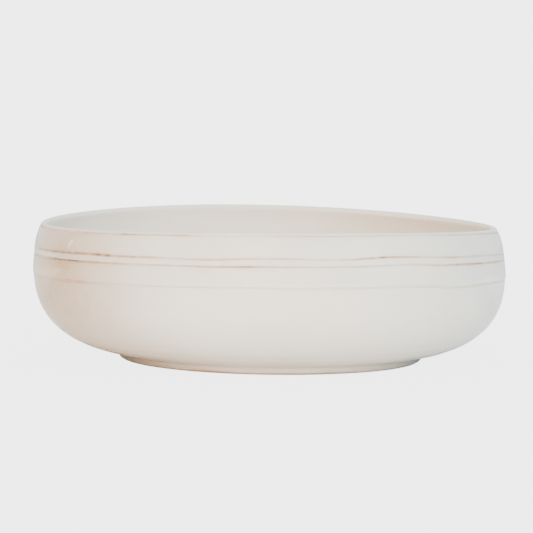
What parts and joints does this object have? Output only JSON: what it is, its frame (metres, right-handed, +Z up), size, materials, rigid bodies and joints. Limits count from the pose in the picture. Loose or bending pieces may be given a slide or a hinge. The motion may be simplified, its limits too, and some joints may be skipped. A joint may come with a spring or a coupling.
{
  "type": "serving bowl",
  "caption": "Wide, low stoneware serving bowl with an inward-leaning rim, a rounded belly on a low foot ring, and a cream glaze parted by thin brown lines.",
  "frame": {"origin": "centre of the foot ring, on the plane that the bowl stands on", "axes": "+Z up along the bowl's axis of revolution; the bowl is round, so +X and +Y are free"},
  "size_m": [0.28, 0.28, 0.082],
  "materials": {
    "stoneware": "bare fired clay, dry and slightly toasted",
    "oxide_wash": "brown iron wash, thinly brushed and satin",
    "cream_glaze": "satin-gloss off-white glaze with soft warm variation"
  },
  "bodies": {
    "root": {"clay_body": "stoneware", "foot_ring": "stoneware", "rim_oxide_line": "oxide_wash", "upper_oxide_line": "oxide_wash", "lower_oxide_line": "oxide_wash", "shoulder_oxide_line": "oxide_wash", "inner_glaze": "cream_glaze", "lip_glaze_band": "cream_glaze", "ridge_glaze_band": "cream_glaze", "shoulder_glaze_band": "cream_glaze", "belly_glaze": "cream_glaze", "foot_glaze_band": "cream_glaze", "base_glaze": "cream_glaze"}
  },
  "joints": []
}
